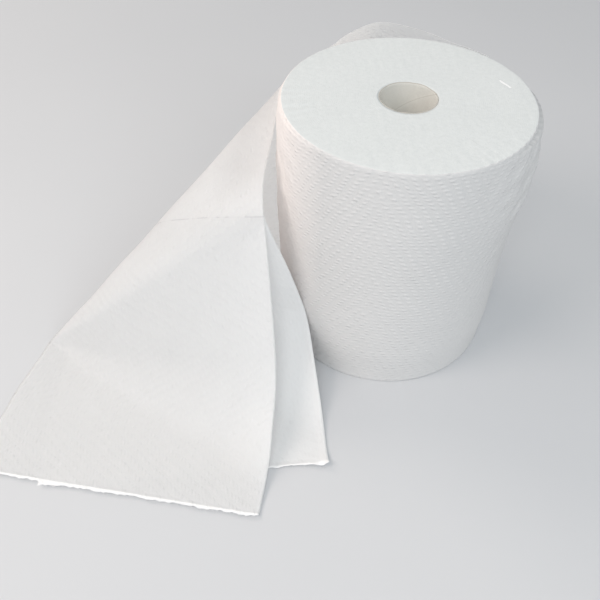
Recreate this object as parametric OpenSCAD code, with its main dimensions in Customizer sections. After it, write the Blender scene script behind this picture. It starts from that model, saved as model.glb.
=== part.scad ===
// Paper towel roll standing on its end, with a length pulled off it.
// Origin: the roll's axis at its lower end. +Z runs up the axis. Sizes in millimetres.

/* [Roll] */
// Diameter of the wound paper
roll_d = 180; // [150:1:210]
// Height of the roll, which is the width of the paper
roll_h = 210; // [190:1:230]
// Rounding of the two rims
rim_r = 2; // [1:0.5:4]
// Spacing of the turn lines on the end faces
turn_pitch = 4.5; // [3:0.5:8]
// Depth of a turn line
turn_depth = 0.4; // [0.2:0.1:0.8]
// Width of a turn line
turn_w = 0.8; // [0.4:0.1:1.2]

/* [Core] */
// Bore of the cardboard core
core_bore_d = 40; // [36:0.5:45]
// Wall of the cardboard core
core_wall = 1; // [0.6:0.1:1.5]

/* [Free sheet] */
// Thickness of the paper, two plies together
sheet_t = 0.5; // [0.4:0.1:0.8]
// Angle round the roll at which the slack turn lifts off
slack_angle = 50; // [40:1:60]
// Angle round the roll at which the slack turn stands off furthest
slack_peak_angle = 103; // [95:1:110]
// How far the slack turn stands off there
slack_stand_off = 27; // [15:1:35]
// Angle round the roll at which the slack turn comes back to it
slack_back_angle = 131; // [125:1:140]
// Angle round the roll that the upright web faces
web_angle = 129; // [120:1:135]
// Gap between the roll and the upright web
web_gap = 11.5; // [6:0.5:16]
// Length of web from where it passes the roll to where it leaves it
leave_s = 36; // [25:1:45]
// Length of web from where it passes the roll to the pinch in its lower edge
pinch_s = 277; // [250:1:300]
// Length of web from where it passes the roll to the torn end
free_len = 395; // [375:1:420]
// Distance that the paper keeps from the roll
sheet_gap = 0.3; // [0.2:0.1:0.6]

/* [Inner ply] */
// Thickness of one ply
ply_t = 0.3; // [0.2:0.1:0.4]
// Length of one sheet, from the perforation to the torn end
sheet_len = 228; // [200:1:250]
// How far the inner ply's pinch lies behind the outer one's
ply_pinch_back = 19; // [12:1:26]
// Length over which the inner ply parts from the outer one
ply_part_len = 70; // [50:5:100]
// Distance between the plies along the perforation
ply_gap = 0.3; // [0.2:0.1:0.5]

/* [Hidden] */

roll_r = roll_d / 2;
bore_r = core_bore_d / 2;
core_r = bore_r + core_wall;

// The free sheet is a fan of straight rulings from the pinch in its lower edge, bent like a cone.
// On the flat sheet a ruling's fan angle runs from 0, back towards the roll, to 180, to the torn end.
// The corners give a ruling's slope above the table at its fan angle. They are rounded over fan_soft.
fan_soft = 4;
soft_samples = 8;
fan_step = 0.5;
outer_corners = [[-10, -10], [39.6, 39.6], [46, 42.6], [58, 40.7], [93.5, 10.5], [111, 0], [190, 0]];
inner_corners = [[-10, -10], [42.6, 42.6], [50.3, 47.3], [63.5, 43.6], [95.8, 11.4], [115.4, 0], [190, 0]];
// Smallest radius of a fan, where its rulings would crowd into a point
fan_root = 4;
// Rows of facets along the rulings, and columns over the upright, bent and flat stretches
fan_rows = 6;
upright_cols = 16;
bent_cols = 40;
flat_cols = 6;
slack_cols = 24;
rim_steps = 4;
round_sides = 96;
// How far a cut runs past the face it opens
cut_past = 1;

web_n = [cos(web_angle), sin(web_angle), 0];
web_along = [-sin(web_angle), cos(web_angle), 0];
web_foot = (roll_r + web_gap) * web_n;
perf_s = free_len - sheet_len;
inner_pinch_s = pinch_s - ply_pinch_back;
inner_set_in = (sheet_t + ply_t) / 2 + ply_gap;

function mean(v, i = 0, total = 0) = i == len(v) ? total / len(v) : mean(v, i + 1, total + v[i]);
function unit(v) = v / norm(v);
function smooth(x) = let(c = min(1, max(0, x))) c * c * (3 - 2 * c);

// Slope of the ruling at fan angle a, with the corners rounded by a sliding mean
function slope_at(corners, a) =
    mean([for (i = [-soft_samples:soft_samples]) lookup(a + i * fan_soft / soft_samples, corners)]);

// Turn of the ruling about the vertical per degree of fan angle, so that no paper is stretched
function turn_rate(corners, a) =
    let(low = slope_at(corners, a), high = slope_at(corners, a + fan_step))
    let(climb = (high - low) / fan_step)
    sqrt(max(0, 1 - climb * climb)) / cos((low + high) / 2);
function bearings(corners) =
    [for (a = 0, b = web_angle - 90; a <= 180 + fan_step; b = b - turn_rate(corners, a) * fan_step,
        a = a + fan_step) [a, b]];

// A fan: pinch point, pinch length, start and end lengths, corners, bearings
function fan(point, z, pinch, start, end, corners) =
    [point + [0, 0, z], pinch, start, end, corners, bearings(corners)];
// The outer ply lies on the inner one, so its middle is higher by the inner ply and the gap
outer_z = ply_t + ply_gap + sheet_t / 2;
outer = fan(web_foot + pinch_s * web_along, outer_z, pinch_s, leave_s, free_len, outer_corners);
inner = fan(web_foot - inner_set_in * web_n + inner_pinch_s * web_along, ply_t / 2, inner_pinch_s, perf_s,
            free_len, inner_corners);

function ruling(f, a) =
    let(e = slope_at(f[4], a), b = lookup(a, f[5])) [cos(e) * cos(b), cos(e) * sin(b), sin(e)];
// Normal of the sheet's outer side along the ruling
function fan_normal(f, a) =
    let(lo = max(0, a - fan_step), hi = min(180, a + fan_step))
    unit(cross(ruling(f, hi) - ruling(f, lo), ruling(f, a)));
function flat_s(f, a, r) = f[1] - r * cos(a);
// Fan angles of the sheet's two upper corners, and the length of the ruling up to the sheet's border
function start_angle(f) = atan2(roll_h, f[1] - f[2]);
function end_angle(f) = atan2(roll_h, f[1] - f[3]);
function reach(f, a) =
    a < start_angle(f) ? (f[1] - f[2]) / cos(a) :
    a > end_angle(f) ? (f[1] - f[3]) / cos(a) : roll_h / sin(a);
function span(from, to, n) = [for (i = [1:n]) from + (to - from) * i / n];
function fan_angles(f) =
    concat([0], span(0, start_angle(f), upright_cols), span(start_angle(f), end_angle(f), bent_cols),
           span(end_angle(f), 180, flat_cols));

// A point of paper of thickness t, pushed out until it clears the roll
function clear_of_roll(p, t) =
    let(r = norm([p.x, p.y]), least = roll_r + sheet_gap + t / 2)
    r < least ? [p.x * least / r, p.y * least / r, p.z] : p;

function outer_at(a, r) = clear_of_roll(outer[0] + r * ruling(outer, a), sheet_t);
// Point of the outer ply at length s and width w on the flat sheet, moved to its inner side
function perf_seat(w) =
    let(a = atan2(w, pinch_s - perf_s), r = norm([w, pinch_s - perf_s]))
    outer_at(a, r) - inner_set_in * fan_normal(outer, a);
function inner_free(s, w) =
    let(a = atan2(w, inner_pinch_s - s), r = norm([w, inner_pinch_s - s]))
    inner[0] + r * ruling(inner, a);
// The inner ply starts under the perforation and parts from it towards its own fan
function inner_at(a, r) =
    let(s = flat_s(inner, a, r), w = r * sin(a))
    let(held = 1 - smooth((s - perf_s) / ply_part_len))
    let(p = inner_free(s, w) + held * (perf_seat(w) - inner_free(perf_s, w)))
    clear_of_roll([p.x, p.y, max(p.z, ply_t / 2)], ply_t);

// The slack turn carries the sheet's start line on round the roll. Its upper edge keeps to the roll, stands
// off as the corners say over the angle round the roll, and meets the roll. Its lower edge closes in slowly.
slack_r = roll_r + sheet_gap + sheet_t / 2;
slack_foot_share = 0.4;
slack_foot_gap = 2;
slack_corners = [[slack_angle, 0],
                 [slack_angle + slack_foot_share * (slack_peak_angle - slack_angle), slack_foot_gap],
                 [slack_peak_angle, slack_stand_off], [slack_back_angle, 0]];
function slack_at(p, w, share) =
    let(a = atan2(p.y, p.x) * (1 - share) + slack_angle * share)
    let(r = slack_r + slope_at(slack_corners, a) + (norm([p.x, p.y]) - slack_r) * (1 - smooth(share)))
    [r * cos(a), r * sin(a), p.z + (outer_z + w - p.z) * smooth(2 * share)];

// Closed sheet from middle points, their normals, four-cornered faces and the border's point numbers
module paper(points, normals, faces, border, t) {
    n = len(points);
    sides = [for (i = [0:len(border) - 1]) [border[i], border[(i + 1) % len(border)]]];
    polyhedron(
        points = concat([for (i = [0:n - 1]) points[i] + normals[i] * t / 2],
                        [for (i = [0:n - 1]) points[i] - normals[i] * t / 2]),
        faces = concat(
            [for (q = faces, tri = [[q[0], q[1], q[2]], [q[0], q[2], q[3]]]) tri],
            [for (q = faces, tri = [[q[0], q[2], q[1]], [q[0], q[3], q[2]]]) tri + [n, n, n]],
            [for (e = sides, tri = [[e[0], e[0] + n, e[1]], [e[1], e[0] + n, e[1] + n]]) tri]));
}

fan_stride = fan_rows + 1;
fan_cols = upright_cols + bent_cols + flat_cols;
function fan_id(i, j) = i * fan_stride + j;
function fan_faces() =
    [for (i = [0:fan_cols - 1], j = [0:fan_rows - 1])
        [fan_id(i, j), fan_id(i, j + 1), fan_id(i + 1, j + 1), fan_id(i + 1, j)]];
function row_radius(f, a, j) = fan_root + (reach(f, a) - fan_root) * j / fan_rows;
// Normals at the points of a lattice, from the points beside each one
function lattice_normals(points, stride) =
    let(last = len(points) / stride - 1)
    [for (i = [0:last], j = [0:stride - 1])
        let(across = points[min(i + 1, last) * stride + j] - points[max(i - 1, 0) * stride + j])
        let(along = points[i * stride + min(j + 1, stride - 1)] - points[i * stride + max(j - 1, 0)])
        unit(cross(across, along))];

// Spiral-wound cardboard tube
module core() {
    color("tan")
    difference() {
        cylinder(r = core_r, h = roll_h, $fn = round_sides);
        translate([0, 0, -cut_past]) cylinder(r = bore_r, h = roll_h + 2 * cut_past, $fn = round_sides);
    }
}

// All the wound turns as one body, with turn lines on both ends and rounded rims
module wound_paper() {
    lines = floor((roll_r - rim_r - core_r - turn_w) / turn_pitch);
    notch = [for (k = [1:lines], p = [[-turn_w / 2, 0], [0, turn_depth], [turn_w / 2, 0]])
        [core_r + k * turn_pitch + p[0], p[1]]];
    rim = [for (i = [0:rim_steps]) let(a = 90 * i / rim_steps)
        [roll_r - rim_r + rim_r * sin(a), rim_r - rim_r * cos(a)]];
    lower = concat([[core_r, 0]], notch, rim);
    upper = [for (i = [len(lower) - 1:-1:0]) [lower[i].x, roll_h - lower[i].y]];
    color("white") rotate_extrude($fn = round_sides) polygon(concat(lower, upper));
}

// The length pulled off the roll: the slack turn, the upright web, the ridge and the torn sheet
module free_sheet() {
    angles = fan_angles(outer);
    fan_points = [for (a = angles, j = [0:fan_rows]) outer_at(a, row_radius(outer, a, j))];
    start_line = [for (i = [0:upright_cols]) fan_points[fan_id(i, fan_rows)]];
    slack_points = [for (k = [1:slack_cols], i = [0:upright_cols])
        slack_at(start_line[i], (pinch_s - leave_s) * tan(angles[i]), k / slack_cols)];
    slack_normals = lattice_normals(concat(start_line, slack_points), upright_cols + 1);
    count = len(fan_points);
    last = slack_cols;
    function id(i, k) = k == 0 ? fan_id(i, fan_rows) : count + (k - 1) * (upright_cols + 1) + i;
    slack_faces = [for (i = [0:upright_cols - 1], k = [0:last - 1])
        [id(i, k), id(i, k + 1), id(i + 1, k + 1), id(i + 1, k)]];
    border = concat(
        [for (j = [0:fan_rows]) fan_id(0, j)],
        [for (k = [1:last]) id(0, k)],
        [for (i = [1:upright_cols]) id(i, last)],
        [for (k = [last - 1:-1:1]) id(upright_cols, k)],
        [for (i = [upright_cols:fan_cols]) fan_id(i, fan_rows)],
        [for (j = [fan_rows - 1:-1:0]) fan_id(fan_cols, j)],
        [for (i = [fan_cols - 1:-1:1]) fan_id(i, 0)]);
    color("white")
    paper(concat(fan_points, slack_points),
          concat(lattice_normals(fan_points, fan_stride),
                 [for (i = [upright_cols + 1:len(slack_normals) - 1]) -slack_normals[i]]),
          concat(fan_faces(), slack_faces), border, sheet_t);
}

// The inner ply of the torn sheet, dropped away from the outer one below the perforation
module inner_ply() {
    angles = fan_angles(inner);
    points = [for (a = angles, j = [0:fan_rows]) inner_at(a, row_radius(inner, a, j))];
    border = concat(
        [for (j = [0:fan_rows]) fan_id(0, j)],
        [for (i = [1:fan_cols]) fan_id(i, fan_rows)],
        [for (j = [fan_rows - 1:-1:0]) fan_id(fan_cols, j)],
        [for (i = [fan_cols - 1:-1:1]) fan_id(i, 0)]);
    color("whitesmoke") paper(points, lattice_normals(points, fan_stride), fan_faces(), border, ply_t);
}

core();
wound_paper();
free_sheet();
inner_ply();
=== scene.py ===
"""Paper towel roll on end, with a length pulled off it, draped to the table and torn.

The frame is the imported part's: +Z up the roll's axis from its lower end. Sizes here are in
millimetres and become metres as a mesh is made.
"""
import math

import bpy
import numpy as np
from mathutils import Matrix


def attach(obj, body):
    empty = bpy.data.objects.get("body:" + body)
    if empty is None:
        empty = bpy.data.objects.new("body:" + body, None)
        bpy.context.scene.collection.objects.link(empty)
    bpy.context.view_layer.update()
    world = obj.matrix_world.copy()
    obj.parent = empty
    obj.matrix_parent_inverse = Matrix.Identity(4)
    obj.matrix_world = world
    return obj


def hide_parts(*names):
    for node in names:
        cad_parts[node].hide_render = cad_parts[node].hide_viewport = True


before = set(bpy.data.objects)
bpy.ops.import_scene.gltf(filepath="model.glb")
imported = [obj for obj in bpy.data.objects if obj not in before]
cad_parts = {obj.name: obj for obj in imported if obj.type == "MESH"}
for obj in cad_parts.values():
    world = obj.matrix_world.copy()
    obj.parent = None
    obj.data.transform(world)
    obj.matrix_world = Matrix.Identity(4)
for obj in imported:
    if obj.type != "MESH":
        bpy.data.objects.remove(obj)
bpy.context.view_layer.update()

MM = 0.001

# Roll and core
ROLL_R, ROLL_H = 90.0, 210.0
RIM_R = 2.0
BORE_R, CORE_R = 20.0, 21.0
ROLL_COLUMNS = 372
SEAM_LEAD, SEAM_HEIGHT, SEAM_ANGLE = 85.0, 193.5, 89.0
LOOSE_TOP, LOOSE_EASE = 206.5, 38.0
LOOSE_RIGHT = -5.0, 50.0, [(90, 0), (110, 0.7), (125, 1.5), (140, 3), (160, 5), (175, 5.6), (190, 5),
                           (207, 2.6)]
LOOSE_LEFT = -170.0, 42.0, [(60, 0), (90, 0.8), (120, 2), (150, 2.6), (190, 2.2), (207, 1.2)]
FOOT_DRAW, FOOT_HEIGHT = 1.8, 36.0
EMBOSS_SINK = 0.2
WRINKLED_ARCS = [(-170, 15, 1.0), (-48, 16, 0.8)]

# Free sheet, by length s along the web and width w across it
SHEET_T = 0.5
SHEET_GAP = 0.3
WEB_ANGLE, WEB_GAP = 129.0, 11.5
LEAVE_S, PINCH_S, FREE_LEN = 36.0, 277.0, 395.0
SLACK_ANGLE = 50.0
SLACK_CORNERS = [(50, 0), (71.2, 2), (103, 27), (131, 0)]
SHEET_STEP = 1.75
OUTER_TEAR = [(0, -1), (18, 0), (48, 0.5), (50, 3), (74, 0.6), (97, 1.6), (98, 0.4), (200, 0.6),
              (210, -0.6)]
TEAR_LIP, TEAR_REACH = 4.0, 12.0
EDGE_LIFT, SLACK_SINK = 5.5, 1.8
OUTER_CORNERS = [(-10, -10), (39.6, 39.6), (46, 42.6), (58, 40.7), (93.5, 10.5), (111, 0), (190, 0)]

# Inner ply of the torn sheet
PLY_T, PLY_GAP = 0.3, 0.3
SHEET_LEN = 228.0
PLY_PINCH_BACK, PLY_PART_LEN = 19.0, 70.0
PLY_STEP = 2.0
INNER_TEAR = [(0, 0), (196, 0), (204, 2), (210, 2.5)]
PLY_CURL, PLY_EDGE_LIFT, PLY_LIP = 2.5, 1.5, 1.6
INNER_CORNERS = [(-10, -10), (42.6, 42.6), (50.3, 47.3), (63.5, 43.6), (95.8, 11.4), (115.4, 0), (190, 0)]

FAN_SOFT, FAN_STEP = 4.0, 0.1
KINK_MOVE, EDGE_MOVE = np.array([1.5, 8.0, 0.0]), np.array([-5.0, 0.0, 0.0])
PERF_S = FREE_LEN - SHEET_LEN
INNER_SET_IN = (SHEET_T + PLY_T) / 2 + PLY_GAP
OUTER_Z = PLY_T + PLY_GAP + SHEET_T / 2

# Emboss: level rows of short dashes, staggered from row to row one way or the other by turns
ROUND = 2 * math.pi * ROLL_R
ROW_PITCH = ROLL_H / 61
DASH_PITCH, DASH_SHIFT = ROUND / 76, 11.6
LEAN_PITCH, LEAN_PLACE = ROUND / 4, 377.0
CELL_LONG, CELL_WIDE, CELL_SWELL = ROUND / 11, 37.0, 1.3
DASH_GAIN, DASH_FLOOR = 0.8, 0.35

# Tissue tones with the painted shade and painted light on them, and where thin paper lets more or less light
# through
# The roll's tissue tones are written darker than the same tissue's on the free sheet: the paper's own white
# with painted shade of the emboss's fine pits.
WOUND_TONES_SHADED = (0.735, 0.728, 0.724), (0.795, 0.788, 0.784)
THIN_TONES = (0.965, 0.965, 0.965), (0.995, 0.995, 0.995)
THROUGH_TONE = 0.972, 0.972, 0.972, 1
# Painted shade in the emboss's hollows on the roll, and its tone
WOUND_PAINTED_SHADE, WOUND_PAINTED_SHADE_TONE = 0.22, (0.55, 0.55, 0.55)
# Painted shade in the emboss's hollows on the free sheet, and its tone
THIN_PAINTED_SHADE, THIN_PAINTED_SHADE_TONE = 0.06, (0.75, 0.75, 0.75)
FUZZ_LEN, FUZZ_TONE = 2.5, (0.99, 0.99, 0.99)
CUT_HALF, CUT_TONE = 0.4, (0.42, 0.41, 0.45)
# Painted light on the roll's left limb, which lies in the free sheet's shade: a paler, warmer tone and its
# share, over an arc round the axis given by its middle, reach and fade in mm round the roll
LIMB_PAINTED_LIGHT_TONE, LIMB_PAINTED_LIGHT_SHARE = (0.97, 0.905, 0.875), 0.9
LIMB_PAINTED_LIGHT_MIDDLE, LIMB_PAINTED_LIGHT_REACH, LIMB_PAINTED_LIGHT_FADE = 298.5, 72.0, 45.0
MASK_EASE = 30.0
LAID_LEAN = 0.1
UPRIGHT_LEAN, UPRIGHT_MORE = 0.82, 0.42
NEAR_WIDTH, NEAR_LENGTH, NEAR_SHARE = 150.0, 160.0, 0.5
SLACK_MORE = 0.3

# Lamps
LIT_POINT = -0.05, 0.0, 0.05


def smooth(x):
    """Smooth step: 0 below 0, 1 above 1."""
    c = np.clip(x, 0, 1)
    return c * c * (3 - 2 * c)


def ripples(points, size, seed, waves=14):
    """Random relief of unit spread: a sum of sine waves about `size` long, with seeded headings
    and phases."""
    rng = np.random.default_rng(seed)
    heading = rng.normal(size=(points.shape[-1], waves))
    heading /= np.linalg.norm(heading, axis=0)
    length = size * rng.uniform(0.7, 1.4, waves)
    phase = rng.uniform(0, 2 * math.pi, waves)
    return np.sin(points @ (heading * 2 * math.pi / length) + phase).sum(-1) * math.sqrt(2 / waves)


def emboss(s, w):
    """Relief of 0 to 1 at length s and width w: a cosine across the rows times slanting cosines, of which
    one leans forward and one back, taking turns along s. A product of cosines shifts rows and dashes."""
    turn = 2 * math.pi
    cells = CELL_SWELL * np.cos(turn * s / CELL_LONG) * np.cos(turn * w / CELL_WIDE)
    rows = 0.5 + 0.5 * np.cos(turn * (w + cells) / ROW_PITCH)
    lean = 0.5 + 0.5 * np.cos(turn * (s - LEAN_PLACE) / LEAN_PITCH)
    along, shift = (s + cells) / DASH_PITCH, w / DASH_SHIFT
    dashes = lean * np.cos(turn * (along - shift)) + (1 - lean) * np.cos(turn * (along + shift))
    return rows * np.clip(DASH_FLOOR + DASH_GAIN * dashes, 0, 1)


def grid_piece(name, points, uv, finish, wrap=(False, False)):
    """Mesh of a grid of points, faces four-cornered, facing the side of d/drow x d/dcolumn.
    wrap joins the last row or column to the first; uv then has one more row or column than points."""
    rows, cols = points.shape[:2]
    r = np.arange(rows if wrap[0] else rows - 1)[:, None]
    c = np.arange(cols if wrap[1] else cols - 1)[None, :]
    corners = [(r, c), (r + 1, c), (r + 1, c + 1), (r, c + 1)]
    faces = np.stack([(i % rows) * cols + j % cols for i, j in corners], -1).reshape(-1, 4)
    loops = np.stack([uv[i, j] for i, j in corners], -2).reshape(-1, 2)
    mesh = bpy.data.meshes.new(name)
    mesh.from_pydata((points.reshape(-1, 3) * MM).tolist(), [], faces.tolist())
    mesh.uv_layers.new(name="flat").data.foreach_set("uv", (loops * MM).astype(np.float32).ravel())
    return place(name, mesh, finish)


def place(name, mesh, finish):
    """Object of a mesh, shaded smooth, in the scene at the origin."""
    mesh.materials.append(finish)
    mesh.shade_smooth()
    mesh.update()
    piece = bpy.data.objects.new(name, mesh)
    bpy.context.scene.collection.objects.link(piece)
    return piece


class Fan:
    """Paper bent like a cone. Straight rulings leave a pinch in its lower edge. A ruling's slope over the
    table comes from a table of corners over the fan angle on the flat sheet, rounded by a sliding mean, and
    its bearing turns just as far as keeps the paper unstretched."""

    def __init__(self, pinch, pinch_s, corners):
        self.pinch = np.array(pinch)
        self.pinch_s = pinch_s
        self.angle = np.arange(0, 180 + 2 * FAN_STEP, FAN_STEP)
        knots = np.array(corners, float)
        spread = np.linspace(-FAN_SOFT, FAN_SOFT, 33)
        self.slope = np.interp(self.angle[:, None] + spread, knots[:, 0], knots[:, 1]).mean(1)
        climb = np.diff(self.slope) / FAN_STEP
        middle = np.radians((self.slope[1:] + self.slope[:-1]) / 2)
        turn = np.sqrt(np.maximum(0, 1 - climb ** 2)) / np.cos(middle)
        self.bearing = WEB_ANGLE - 90 - np.concatenate([[0], np.cumsum(turn)]) * FAN_STEP

    def ruling(self, angle):
        """Unit vector along the ruling at a fan angle."""
        e = np.radians(np.interp(angle, self.angle, self.slope))
        b = np.radians(np.interp(angle, self.angle, self.bearing))
        return np.stack([np.cos(e) * np.cos(b), np.cos(e) * np.sin(b), np.sin(e)], -1)

    def normal(self, angle):
        """Unit normal of the outer side along the ruling: the change of ruling crossed with the ruling."""
        low = np.maximum(0, angle - 0.5)
        high = np.minimum(180, angle + 0.5)
        across = np.cross(self.ruling(high) - self.ruling(low), self.ruling(angle))
        return across / np.linalg.norm(across, axis=-1, keepdims=True)

    def polar(self, s, w):
        """Fan angle and distance from the pinch on the flat sheet."""
        return np.degrees(np.arctan2(w, self.pinch_s - s)), np.hypot(w, self.pinch_s - s)

    def at(self, s, w):
        """Point at length s and width w: the pinch plus the distance along the ruling."""
        angle, reach = self.polar(s, w)
        return self.pinch + reach[..., None] * self.ruling(angle)


def clear_of_roll(points, thick):
    """Points of paper moved straight out from the roll's axis until they clear it."""
    least = ROLL_R + SHEET_GAP + thick / 2
    out = np.maximum(1, least / np.hypot(points[..., 0], points[..., 1]))
    return points * np.stack([out, out, np.ones_like(out)], -1)


def flat_dir(degrees):
    """Level unit vector at an angle round the axis."""
    return np.array([math.cos(math.radians(degrees)), math.sin(math.radians(degrees)), 0.0])


web_n, web_along = flat_dir(WEB_ANGLE), flat_dir(WEB_ANGLE + 90)
web_foot = (ROLL_R + WEB_GAP) * web_n
inner_pinch_s = PINCH_S - PLY_PINCH_BACK
outer_fan = Fan(web_foot + PINCH_S * web_along + [0, 0, OUTER_Z], PINCH_S, OUTER_CORNERS)
inner_fan = Fan(web_foot - INNER_SET_IN * web_n + inner_pinch_s * web_along + [0, 0, PLY_T / 2],
                inner_pinch_s, INNER_CORNERS)

# Slack turn: the sheet carried on round the roll from where it leaves it
slack_r = ROLL_R + SHEET_GAP + SHEET_T / 2


def slack_share(share, w):
    """Point of the slack turn at a share of its way from the leaving line to where it meets the roll: the
    line's point turned round the axis, standing off by a rounded table over the angle, while its lean dies
    out."""
    start = clear_of_roll(outer_fan.at(np.full_like(w, LEAVE_S), w), SHEET_T)
    angle = np.degrees(np.arctan2(start[..., 1], start[..., 0])) * (1 - share) + SLACK_ANGLE * share
    knots = np.array(SLACK_CORNERS, float)
    spread = np.linspace(-FAN_SOFT, FAN_SOFT, 17)
    stand_off = np.interp(angle[..., None] + spread, knots[:, 0], knots[:, 1]).mean(-1)
    lean = np.hypot(start[..., 0], start[..., 1]) - slack_r
    r = slack_r + stand_off + lean * (1 - smooth(share))
    turn = np.radians(angle)
    z = start[..., 2] + (OUTER_Z + w - start[..., 2]) * smooth(2 * share)
    return np.stack([r * np.cos(turn), r * np.sin(turn), z], -1)


shares = np.linspace(0, 1, 400)
upper_edge = slack_share(shares, np.full_like(shares, ROLL_H))
upper_run = np.concatenate([[0], np.cumsum(np.linalg.norm(np.diff(upper_edge, axis=0), axis=1))])
SLACK_LEN = upper_run[-1]


def outer_at(s, w):
    """Middle of the free sheet: the slack turn up to the leaving line and the fan after it."""
    fan = outer_fan.at(np.maximum(s, LEAVE_S), w)
    slack = slack_share(np.interp(LEAVE_S - s, upper_run, shares), w)
    return clear_of_roll(np.where((s < LEAVE_S)[..., None], slack, fan), SHEET_T)


def perf_seat(w):
    """Inner side of the free sheet along the perforation, where the inner ply starts."""
    s = np.full_like(w, PERF_S)
    return outer_at(s, w) - INNER_SET_IN * outer_fan.normal(outer_fan.polar(s, w)[0])


def inner_at(s, w):
    """Middle of the inner ply: its own fan, drawn to its seat under the perforation at the start."""
    held = 1 - smooth((s - PERF_S) / PLY_PART_LEN)
    seat = perf_seat(w) - inner_fan.at(np.full_like(w, PERF_S), w)
    points = inner_fan.at(s, w) + held[..., None] * seat
    points[..., 2] = np.maximum(points[..., 2], PLY_T / 2)
    return clear_of_roll(points, PLY_T)


def normals_of(points):
    """Unit normals of a grid from the differences between neighbouring points."""
    n = np.cross(np.gradient(points, axis=0), np.gradient(points, axis=1))
    return n / np.maximum(np.linalg.norm(n, axis=-1, keepdims=True), 1e-12)


def torn_length(w, tear, seed):
    """Length of the sheet at width w: a table of the tear's steps, which wander by waves of three sizes."""
    at = w[..., None]
    wander = 0.25 * ripples(at, 26, seed) + 0.18 * ripples(at, 7, seed + 1)
    wander = wander + 0.12 * ripples(at, 3, seed + 2)
    return FREE_LEN - 0.6 + np.interp(w, *np.array(tear, float).T) + np.clip(wander, -1, 0.8)


def flat_grid(start, step, tear, seed):
    """Lengths and widths of a sheet's grid; its last rows are stretched to the torn end."""
    count = round((FREE_LEN - start) / step)
    s, w = np.meshgrid(np.linspace(start, FREE_LEN, count + 1),
                       np.linspace(0, ROLL_H, round(ROLL_H / step) + 1), indexing="ij")
    last = FREE_LEN - TEAR_REACH
    s = np.where(s > last, last + (s - last) * (torn_length(w, tear, seed) - last) / TEAR_REACH, s)
    return s, w


def torn_lip(s, w, tear, seed):
    """Height of the lip along a torn end: a smooth step over its last few mm, uneven along the tear."""
    uneven = 1.0 + 0.35 * ripples(w[..., None], 12, seed + 3)
    return smooth((s - torn_length(w, tear, seed) + TEAR_LIP) / TEAR_LIP) * uneven


def kink_shift(s, w):
    """Shift of the paper near the pinch, a bell curve round it, and of its edge beyond, eased in along
    it."""
    bell = np.exp(-((s - PINCH_S) / 45) ** 2 - (w / 45) ** 2)
    edge = smooth((75 - w) / 75) * smooth((s - PINCH_S) / 55)
    return bell[..., None] * KINK_MOVE + edge[..., None] * EDGE_MOVE


class Field:
    """An output socket of a finish. Sums, products and the like of fields add Math nodes."""

    def __init__(self, finish, socket):
        self.finish = finish
        self.socket = socket

    def math(self, operation, *values):
        return self.finish.node("Math", {"operation": operation}, dict(enumerate(values or [self])))

    def __add__(self, other):
        return self.math("ADD", self, other)

    def __radd__(self, other):
        return self.math("ADD", other, self)

    def __sub__(self, other):
        return self.math("SUBTRACT", self, other)

    def __rsub__(self, other):
        return self.math("SUBTRACT", other, self)

    def __mul__(self, other):
        return self.math("MULTIPLY", self, other)

    def __rmul__(self, other):
        return self.math("MULTIPLY", other, self)

    def __abs__(self):
        return self.math("ABSOLUTE")

    def __mod__(self, other):
        return self.math("FLOORED_MODULO", self, other)

    def __lt__(self, other):
        return self.math("LESS_THAN", self, other)

    def __gt__(self, other):
        return self.math("GREATER_THAN", self, other)

    def cos(self):
        return self.math("COSINE")

    def root(self):
        return self.math("SQRT")

    def clamp(self):
        return self.finish.node("Clamp", {}, {0: self})


class Finish:
    """A material in the making. node() adds a node and gives one of its outputs as a Field."""

    def __init__(self, name):
        self.material = bpy.data.materials.new(name)
        self.material.use_nodes = True
        self.tree = self.material.node_tree
        self.tree.nodes.clear()

    def node(self, kind, settings=(), inputs=(), output=0):
        made = self.tree.nodes.new("ShaderNode" + kind)
        for key, value in dict(settings).items():
            setattr(made, key, value)
        for key, value in dict(inputs).items():
            if isinstance(value, Field):
                self.tree.links.new(value.socket, made.inputs[key])
            else:
                made.inputs[key].default_value = value
        return None if output is None else Field(self, made.outputs[output])

    def split(self, vector):
        return [self.node("SeparateXYZ", {}, {0: vector}, axis) for axis in range(3)]

    def mix(self, factor, low, high):
        """Colour between two colours, which are written as three numbers or are fields."""
        a, b = (c if isinstance(c, Field) else (*c, 1) for c in (low, high))
        return self.node("Mix", {"data_type": "RGBA"}, {0: factor, 6: a, 7: b}, 2)

    def noise(self, where, scale, detail=2.0, roughness=0.5):
        return self.node("TexNoise", {}, {"Vector": where, "Scale": scale, "Detail": detail,
                                          "Roughness": roughness})

    def bump(self, height, distance, strength=1.0, under=None):
        inputs = {"Height": height, "Distance": distance, "Strength": strength}
        if under is not None:
            inputs["Normal"] = under
        return self.node("Bump", {}, inputs)

    def close(self, through=None, **inputs):
        """Principled shader of the inputs; a field as through is the share of light let through."""
        named = {key.replace("_", " "): value for key, value in inputs.items()}
        surface = self.node("BsdfPrincipled", {}, named)
        if isinstance(through, Field):
            passed = self.node("BsdfTranslucent", {}, {"Color": THROUGH_TONE, "Normal": named["Normal"]})
            surface = self.node("MixShader", {}, {0: through, 1: surface, 2: passed})
        self.node("OutputMaterial", {}, {"Surface": surface}, None)
        return self.material


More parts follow.
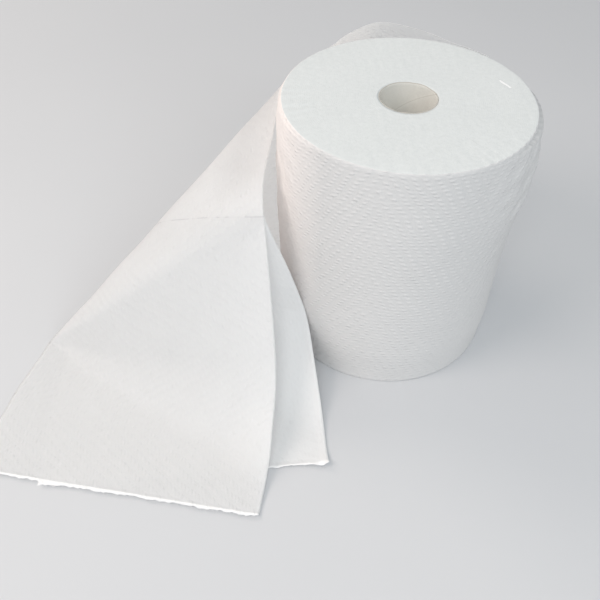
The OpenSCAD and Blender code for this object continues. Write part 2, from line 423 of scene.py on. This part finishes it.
def tissue_finish(name, depth, tones, through=0.0, less=0.0, perforated=False, loose=False):
    """White embossed tissue on flat coordinates: the emboss's staggered dashes as relief, fibres as fine
    noise in colour and relief. On the roll and the free sheet the emboss's hollows get painted shade, and
    on the roll's left limb, which lies in the free sheet's shade, painted light makes it paler and warmer.
    Thin paper lets light through, less where its plies lie together on the table and more where it stands
    taut next to the roll, and its torn end is a paler fuzz. The free sheet has a faint broken line of cuts
    along the perforation."""
    paper = Finish(name)
    flat = paper.node("TexCoord", {}, {}, "UV")
    s, w, _ = paper.split(flat)
    turn = 2 * math.pi / MM
    cells = (s * (turn / CELL_LONG)).cos() * (w * (turn / CELL_WIDE)).cos() * (CELL_SWELL * MM)
    rows = ((w + cells) * (turn / ROW_PITCH)).cos() * 0.5 + 0.5
    lean = ((s - LEAN_PLACE * MM) * (turn / LEAN_PITCH)).cos() * 0.5 + 0.5
    along, shift = (s + cells) * (turn / DASH_PITCH), w * (turn / DASH_SHIFT)
    dashes = lean * (along - shift).cos() + (1 - lean) * (along + shift).cos()
    relief = rows * (dashes * DASH_GAIN + DASH_FLOOR).clamp()
    fibre = paper.noise(flat, 700, 3, 0.6)
    cloud = paper.noise(flat, 45, 2)
    uneven = paper.noise(flat, 190, 2, 0.6)
    height = relief * (uneven * 1.4) * 0.7 + fibre * 0.3 + cloud * 0.2 + uneven * 0.35
    base = paper.mix(fibre * 0.6 + cloud * 0.4, *tones)
    if loose:
        # Painted light, paler and warmer, over an arc of the roll's left limb, which lies in the free
        # sheet's shade
        away = abs(s - LIMB_PAINTED_LIGHT_MIDDLE * MM)
        limb_painted_light = ((LIMB_PAINTED_LIGHT_REACH * MM - away) * (1 / (LIMB_PAINTED_LIGHT_FADE * MM))).clamp()
        # Painted shade in the emboss's hollows, left off near the foot and under the limb's painted light
        hollow_painted_shade = (1 - relief) * (1 - limb_painted_light) * ((w - 0.02) * 10).clamp()
        base = paper.mix(hollow_painted_shade * WOUND_PAINTED_SHADE, base, WOUND_PAINTED_SHADE_TONE)
        base = paper.mix(limb_painted_light * LIMB_PAINTED_LIGHT_SHARE, base, LIMB_PAINTED_LIGHT_TONE)
    if perforated:
        # Painted shade in the free sheet's emboss hollows, whose bump shows little under light let through
        base = paper.mix((1 - relief) * THIN_PAINTED_SHADE, base, THIN_PAINTED_SHADE_TONE)
        cuts = (abs(s - PERF_S * MM) < CUT_HALF * MM) * (0.1 + 0.28 * (paper.noise(flat, 55, 1) > 0.5))
        base = paper.mix(cuts, base, CUT_TONE)
    if through:
        ease = 1 / (MASK_EASE * MM)
        laid = ((s - PINCH_S * MM - w * LAID_LEAN) * ease).clamp()
        fuzz = s > (FREE_LEN - FUZZ_LEN) * MM
        base = paper.mix(fuzz, base, FUZZ_TONE)
        if perforated:
            upright = (((PINCH_S * MM - s) * UPRIGHT_LEAN - w) * ease).clamp()
            slack = ((LEAVE_S * MM - s) * ease).clamp()
            near = ((w - NEAR_WIDTH * MM) * ease).clamp() * ((NEAR_LENGTH * MM - s) * ease).clamp()
            taut = (upright + near * NEAR_SHARE).clamp() * (1 - slack)
            through = taut * UPRIGHT_MORE + slack * SLACK_MORE + through
        through = (through - laid * less) * (1 - fuzz)
    return paper.close(through, Base_Color=base, Roughness=0.95, Normal=paper.bump(height, depth),
                       Specular_IOR_Level=0.12)


def mark(x, y, heading, half, wide, wander):
    """1 on a short thin stroke through the origin of x and y, 0 beside it."""
    c, d = math.cos(math.radians(heading)), math.sin(math.radians(heading))
    beside = y * c - x * d + (wander - 0.5) * 0.006
    return (abs(x * c + y * d) < half) * (abs(beside) < wide)


def turn_ends_finish():
    """Edges of the wound turns on the end faces: very fine mottle over faint rings, a white nick and a
    scuff."""
    ends = Finish("turn_ends")
    where = ends.node("TexCoord", {}, {}, "Object")
    x, y, z = ends.split(where)
    radius = (x * x + y * y).root()
    mottle = ends.noise(where, 800, 4, 0.65)
    cloud = ends.noise(where, 40, 2)
    patch = ends.noise(where, 330, 3, 0.6)
    ring = ((radius + cloud * 0.004) * (2 * math.pi / 0.0013)).cos()
    nick = mark(x - 0.069, y - 0.0295, -52, 0.006, 0.0009, cloud)
    scuff = mark(x - 0.043, y + 0.046, -35, 0.005, 0.0005, cloud)
    height = ring * 0.06 + mottle * 0.8 + patch * 0.8 + nick - scuff * 0.3
    tone = (mottle * 0.8 + patch * 1.2 + cloud * 0.5 - 0.75).clamp()
    base = ends.mix(tone, (0.71, 0.736, 0.733), (0.785, 0.81, 0.807))
    base = ends.mix(nick * 0.95, base, (0.99, 0.99, 0.99))
    return ends.close(Base_Color=base, Roughness=0.95, Normal=ends.bump(height, 0.0003),
                      Specular_IOR_Level=0.1)


def cardboard_finish():
    """Pale grey-beige board: fibre flecks, soft clouds, a thin darker line along the spiral seam, and a
    darker cut end."""
    board = Finish("core_cardboard")
    flat = board.node("TexCoord", {}, {}, "UV")
    s, w, _ = board.split(flat)
    lead = SEAM_LEAD * MM
    along = (w + s * (SEAM_LEAD / (2 * math.pi * BORE_R)) - lead * 0.5) % lead
    seam = abs(along - lead * 0.5) < 0.0004
    fleck = board.noise(flat, 900, 3, 0.7)
    cloud = board.noise(flat, 60, 3)
    base = board.mix(fleck * 0.5 + cloud * 0.5, (0.72, 0.705, 0.66), (0.86, 0.845, 0.80))
    cut_end = w > (ROLL_H - SEAM_HEIGHT - 0.4) * MM
    base = board.mix((seam * 0.25 + cut_end * 0.6).clamp(), base, (0.42, 0.39, 0.34))
    return board.close(Base_Color=base, Roughness=0.85, Normal=board.bump(fleck, 0.0002),
                       Specular_IOR_Level=0.2)


def table_finish():
    """Pale, faintly glossy table top with soft clouds of tone."""
    top = Finish("pale_table")
    where = top.node("TexCoord", {}, {}, "Object")
    cloud = top.noise(where, 3, 2)
    base = top.mix(cloud, (0.652, 0.66, 0.678), (0.692, 0.70, 0.715))
    return top.close(Base_Color=base, Roughness=0.45, Specular_IOR_Level=0.3)


# The roll's finish carries painted shade in its emboss hollows and painted light on its left limb
side_tissue = tissue_finish("roll_tissue", 0.0006, WOUND_TONES_SHADED, loose=True)
free_tissue = tissue_finish("free_tissue", 0.0005, THIN_TONES, through=0.5, less=0.05, perforated=True)
ply_tissue = tissue_finish("ply_tissue", 0.0003, THIN_TONES, through=0.22)
fibre_tissue = tissue_finish("torn_fibres", 0.0001, THIN_TONES)
ends_tissue = turn_ends_finish()
cardboard = cardboard_finish()


def turned(profile, columns):
    """Points of a profile of (radius, height) rows carried round the axis, and the angles of the columns."""
    angle = np.arange(columns) * 2 * math.pi / columns
    r, z = profile[:, :1], profile[:, 1:]
    round_axis = np.stack([np.cos(angle), np.sin(angle)], -1)[None]
    level = np.broadcast_to(z[..., None], (len(r), columns, 1))
    points = np.concatenate([r[..., None] * round_axis, level], -1)
    return points, angle


def make_roll():
    """The wound paper: an end face, a rounded rim, the embossed side, and the same below, round the axis.
    The side sinks by the emboss and by slow waves and draws in at the foot. On two sides the last turn
    stands off by a table over the height, faded in over an arc, with its upper edge as a ledge below the
    rim. Short radial wrinkles mark two arcs of the upper rim."""
    rim = np.radians(np.linspace(0, 90, 6))
    ends = np.linspace(CORE_R, ROLL_R - RIM_R, 40)
    top = np.stack([ends, np.full_like(ends, ROLL_H)], -1)
    top_rim = np.stack([ROLL_R - RIM_R + RIM_R * np.sin(rim), ROLL_H - RIM_R + RIM_R * np.cos(rim)], -1)[1:]
    down = np.concatenate([[LOOSE_TOP + 0.1], np.linspace(LOOSE_TOP, RIM_R, 195)[:-1]])
    side = np.stack([np.full_like(down, ROLL_R), down], -1)
    low_rim = (top_rim * [1, -1] + [0, ROLL_H])[::-1]
    low_ends = np.linspace(ROLL_R - RIM_R, CORE_R, 12)
    low = np.stack([low_ends, np.zeros_like(low_ends)], -1)
    profile = np.concatenate([top, top_rim, side, low_rim, low])
    points, angle = turned(profile, ROLL_COLUMNS)
    r = np.broadcast_to(profile[:, :1], points.shape[:2])
    z = np.broadcast_to(profile[:, 1:], points.shape[:2])
    s = np.broadcast_to(angle * ROLL_R, points.shape[:2])
    bearing = (np.degrees(angle) + 180) % 360 - 180
    on_side = smooth((r - ROLL_R + 1.2) / 1.2)
    on_rim = smooth((r - ROLL_R + 14) / 14)
    slow = ripples(points, 70, 3)
    foot = FOOT_DRAW * smooth((FOOT_HEIGHT - z) / FOOT_HEIGHT) * smooth((r - 50) / 38)
    pressed = 0.4 + 0.6 * smooth((z - 20) / 100)
    pattern = EMBOSS_SINK * (1 - pressed * emboss(s, z))
    sink = on_side * (pattern + 0.2 * np.clip(1 - 0.4 * slow, 0, 2)) + foot
    stand_off = 0.0
    for middle, half, heights in (LOOSE_RIGHT, LOOSE_LEFT):
        away = abs((bearing - middle + 180) % 360 - 180)
        at_height = np.interp(z, *np.array(heights, float).T)
        stand_off = stand_off + at_height * smooth((half - away) / LOOSE_EASE)
    stand_off = stand_off * (z <= LOOSE_TOP) * (z > RIM_R)
    out = stand_off * (1 + 0.12 * ripples(points, 16, 4)) - sink
    ring = np.stack([np.cos(angle), np.sin(angle)], -1)[None] * np.ones((len(profile), 1, 1))
    ragged = 0.35 * ripples(ring * ROLL_R, 9, 5) + 0.35 * ripples(ring * ROLL_R, 30, 6)
    crease = ripples(np.concatenate([ring * ROLL_R * 1.6, r[..., None] * 0.12], -1), 9, 7)
    wrinkled = sum(share * np.exp(-((bearing - middle) / half) ** 2)
                   for middle, half, share in WRINKLED_ARCS)
    upper = smooth((z - ROLL_H + 3) / 3)
    wrinkles = smooth((r - 58) / 30) * (0.02 + 0.14 * wrinkled) * crease
    drop = upper * (0.2 + on_rim * (0.2 - 0.2 * ragged) + wrinkles + 0.04 * ripples(points, 6, 8))
    grown = np.stack([1 + out / r, 1 + out / r, np.ones_like(r)], -1)
    points = points * grown - np.stack([np.zeros_like(r), np.zeros_like(r), np.maximum(drop, 0)], -1)
    run = np.cumsum(np.concatenate([[0], np.linalg.norm(np.diff(profile, axis=0), axis=1)]))
    uv_s = np.append(angle, 2 * math.pi) * ROLL_R
    uv_w = np.append(ROLL_H + run[len(top) + len(top_rim)] - run, ROLL_H + 1)
    uv = np.stack(np.broadcast_arrays(uv_s[None, :], uv_w[:, None]), -1)
    roll = grid_piece("towel_roll", points, uv, side_tissue, wrap=(True, True))
    roll.data.materials.append(ends_tissue)
    kind = np.zeros(len(profile), np.int32)
    kind[:len(top)] = 1
    kind[-len(low) - 2:] = 1
    roll.data.polygons.foreach_set("material_index", np.repeat(kind, ROLL_COLUMNS))
    return roll


def make_core():
    """The cardboard tube: its wall's section carried round the axis. On the inside the board steps in by
    the lap of the spiral seam, and the upper edge is slightly uneven."""
    inside = np.linspace(0.3, ROLL_H - 0.3, 120)
    outside = np.linspace(ROLL_H - 0.3, 0.3, 12)
    profile = np.concatenate([
        [(BORE_R + 0.3, ROLL_H), (CORE_R - 0.3, ROLL_H)],
        np.stack([np.full_like(outside, CORE_R - 0.02), outside], -1),
        [(CORE_R - 0.3, 0), (BORE_R + 0.3, 0)],
        np.stack([np.full_like(inside, BORE_R), inside], -1)])
    columns = 144
    points, angle = turned(profile, columns)
    r = np.broadcast_to(profile[:, :1], points.shape[:2])
    z = np.broadcast_to(profile[:, 1:], points.shape[:2])
    turn = np.broadcast_to(angle, points.shape[:2]) - math.radians(SEAM_ANGLE)
    along = (z - SEAM_HEIGHT + SEAM_LEAD * turn / (2 * math.pi)) % SEAM_LEAD
    lap = np.where(r < BORE_R + 0.1, 0.22 * smooth(1 - along / 7) * smooth(along / 0.9), 0)
    points = points * np.stack([1 + lap / r, 1 + lap / r, np.ones_like(r)], -1)
    uneven = 0.15 * ripples(points[..., :2], 14, 21) * (z > ROLL_H - 1)
    points = points - np.stack([np.zeros_like(r), np.zeros_like(r), np.maximum(0, 0.15 + uneven)], -1) * (
        (z > ROLL_H - 1)[..., None])
    uv_s = (np.append(angle, 2 * math.pi) - math.radians(SEAM_ANGLE)) * BORE_R
    uv_w = np.append(profile[:, 1], ROLL_H) - SEAM_HEIGHT
    uv = np.stack(np.broadcast_arrays(uv_s[None, :], uv_w[:, None]), -1)
    return grid_piece("core_tube", points, uv, cardboard, wrap=(True, True))


def thicken(piece, thick):
    """Gives a sheet its thickness, half to each side."""
    solid = piece.modifiers.new("paper_thickness", "SOLIDIFY")
    solid.thickness = thick * MM
    solid.offset = 0
    return piece


def make_free_sheet():
    """The length pulled off the roll, on a grid of the flat sheet. Its outer side rises by the emboss, by
    slow waves that die out at the roll, and by a small lip along the torn end; its free edge stands a little
    off the table next to the torn corner, and its slack turn sinks to the rim."""
    s, w = flat_grid(LEAVE_S - SLACK_LEN, SHEET_STEP, OUTER_TEAR, 31)
    points = outer_at(s, w)
    flat = np.stack([s, w], -1)
    slow = 1 + 0.5 * ripples(flat, 55, 33)
    rise = 0.05 * emboss(s, w) + 0.25 * np.clip(slow, 0, 2) * smooth((s - LEAVE_S) / 40)
    points = points + normals_of(points) * rise[..., None]
    points[..., 2] += torn_lip(s, w, OUTER_TEAR, 31)
    points[..., 2] -= SLACK_SINK * smooth((20 - s) / 70) * smooth((w - 140) / 70)
    lifted = EDGE_LIFT * smooth((w - 170) / 40) * smooth((s - 300) / 40)
    points[..., 2] += lifted * (1 - 0.95 * smooth((s - 345) / 48))
    points = points + kink_shift(s, w)
    return thicken(grid_piece("free_sheet_outer", points, flat, free_tissue), 0.4)


def make_inner_ply():
    """The inner ply of the torn sheet, on a grid of the flat sheet, with a lip along the torn end, its free
    edge just off the table and its loose corner curled up."""
    s, w = flat_grid(PERF_S, PLY_STEP, INNER_TEAR, 41)
    points = inner_at(s, w)
    curl = smooth((s - FREE_LEN + 14) / 14) * smooth((w - ROLL_H + 22) / 22)
    edge = smooth((w - ROLL_H + 7) / 7) * smooth((s - PERF_S - 60) / 40)
    bare = smooth((w - 160) / 14)
    lip = PLY_LIP * bare * torn_lip(s, w, INNER_TEAR, 41)
    points[..., 2] += PLY_CURL * curl + PLY_EDGE_LIFT * edge + lip
    points = points + 0.6 * kink_shift(s, w)
    return thicken(grid_piece("free_sheet_inner", points, np.stack([s, w], -1), ply_tissue), 0.25)


def make_fringe(name, at, tear, seed, count, least):
    """Torn fibres along a sheet's end: three-sided tapered hairs of four rings, which leave the end at
    seeded angles and curve to one side, their lengths mostly short. They grow from a least width on."""
    rng = np.random.default_rng(seed + 5)
    w = rng.uniform(least, ROLL_H - 1, count)[:, None]
    length = (0.6 + 1.4 * rng.uniform(0, 1, count) ** 2)[:, None]
    heading = rng.normal(0, 0.5, count)[:, None]
    curve = rng.normal(0, 0.5, count)[:, None]
    lift = rng.uniform(0, 0.5, count)[:, None]
    thick = rng.uniform(0.06, 0.13, count)[:, None]
    t = np.linspace(0, 1, 4)[None, :]
    head = heading + curve * t
    s = torn_length(w, tear, seed) - 0.5 + length * t * np.cos(head)
    across = np.clip(w + length * t * np.sin(head), 0, ROLL_H)
    middle = at(s, across)
    middle[..., 2] += lift * t * (2 - t) + 0.6
    radius = thick * (1 - 0.75 * t)
    corner = np.radians([90, 210, 330])
    ring = np.stack([np.cos(corner), np.zeros(3), np.sin(corner)], -1)
    points = middle[:, :, None, :] + radius[..., None, None] * ring
    base = np.arange(count)[:, None, None] * 12
    row = np.arange(3)[None, :, None] * 3
    c = np.arange(3)[None, None, :]
    n = (c + 1) % 3
    around = base + row + c, base + row + n, base + row + n + 3, base + row + c + 3
    sides = np.stack(np.broadcast_arrays(*around), -1)
    caps = np.concatenate([base[:, 0] + [2, 1, 0], base[:, 0] + [9, 10, 11]])
    mesh = bpy.data.meshes.new(name)
    faces = sides.reshape(-1, 4).tolist() + caps.tolist()
    mesh.from_pydata((points.reshape(-1, 3) * MM).tolist(), [], faces)
    mesh.uv_layers.new(name="flat")
    return place(name, mesh, fibre_tissue)


def make_table():
    """A wide square table top, a grid of one face."""
    far = 3000.0
    corner = np.array([[(-far, -far, 0), (-far, far, 0)], [(far, -far, 0), (far, far, 0)]])
    return grid_piece("table_top", corner, corner[..., :2], table_finish())


def aim(location, target):
    """Matrix that stands at a place and looks at another along its own -Z, with +Y up."""
    back = np.array(location, float) - np.array(target, float)
    back /= np.linalg.norm(back)
    right = np.cross([0, 0, 1], back)
    right /= np.linalg.norm(right)
    columns = np.stack([right, np.cross(back, right), back, np.array(location, float)], -1)
    return Matrix([*columns.tolist(), [0, 0, 0, 1]])


def soft_lamp(name, location, size, power, colour):
    """Round area lamp that looks at the middle of the object."""
    lamp = bpy.data.lights.new(name, "AREA")
    lamp.shape = "DISK"
    lamp.size = size
    lamp.energy = power
    lamp.color = colour
    holder = bpy.data.objects.new(name, lamp)
    holder.matrix_world = aim(location, LIT_POINT)
    bpy.context.scene.collection.objects.link(holder)


def make_camera():
    """Camera from its place and its yaw, pitch below the horizon and roll, fitted to the roll's rims."""
    yaw, pitch, roll = -0.11908, 0.80971, 0.01931
    ahead = np.array([math.sin(yaw) * math.cos(pitch), math.cos(yaw) * math.cos(pitch), -math.sin(pitch)])
    level = np.array([math.cos(yaw), -math.sin(yaw), 0])
    upright = np.cross(level, ahead)
    right = level * math.cos(roll) + upright * math.sin(roll)
    up = upright * math.cos(roll) - level * math.sin(roll)
    place_m = np.array([-0.019124, -0.452122, 0.472330])
    camera = bpy.data.objects.new("camera", bpy.data.cameras.new("camera"))
    camera.data.sensor_width = 36
    camera.data.lens = 42.996
    camera.data.clip_start = 0.01
    camera.matrix_world = Matrix([*np.stack([right, up, -ahead, place_m], -1).tolist(), [0, 0, 0, 1]])
    bpy.context.scene.collection.objects.link(camera)
    bpy.context.scene.camera = camera


def make_world():
    """Even dim daylight from all round."""
    world = bpy.data.worlds.new("daylight")
    world.use_nodes = True
    sky = world.node_tree.nodes["Background"]
    sky.inputs["Color"].default_value = (0.95, 0.98, 1.0, 1)
    sky.inputs["Strength"].default_value = 0.53
    bpy.context.scene.world = world


make_camera()
make_world()
soft_lamp("window", (-1.15, -0.75, 1.35), 0.9, 9, (1.0, 0.88, 0.81))
soft_lamp("room", (-0.1, -1.3, 1.45), 0.7, 7, (0.98, 1.0, 1.0))
soft_lamp("fill", (0.8, -1.3, 1.1), 0.8, 5, (0.88, 0.96, 1.0))
soft_lamp("rear", (-1.2, 0.7, 1.2), 0.8, 6, (1.0, 0.89, 0.79))

roll = make_roll()
core = make_core()
outer = make_free_sheet()
inner = make_inner_ply()
outer_fringe = make_fringe("torn_fringe_outer", outer_at, OUTER_TEAR, 31, 800, 1)
inner_fringe = make_fringe("torn_fringe_inner", inner_at, INNER_TEAR, 41, 140, 168)

for piece, slot in ((roll, "tissue"), (core, "cardboard"), (outer, "tissue"), (inner, "tissue"),
                    (outer_fringe, "tissue"), (inner_fringe, "tissue")):
    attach(piece, "root")
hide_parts("wound_paper")
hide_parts("core")
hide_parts("free_sheet")
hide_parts("inner_ply")
make_table()
bpy.context.scene.view_settings.view_transform = "Standard"
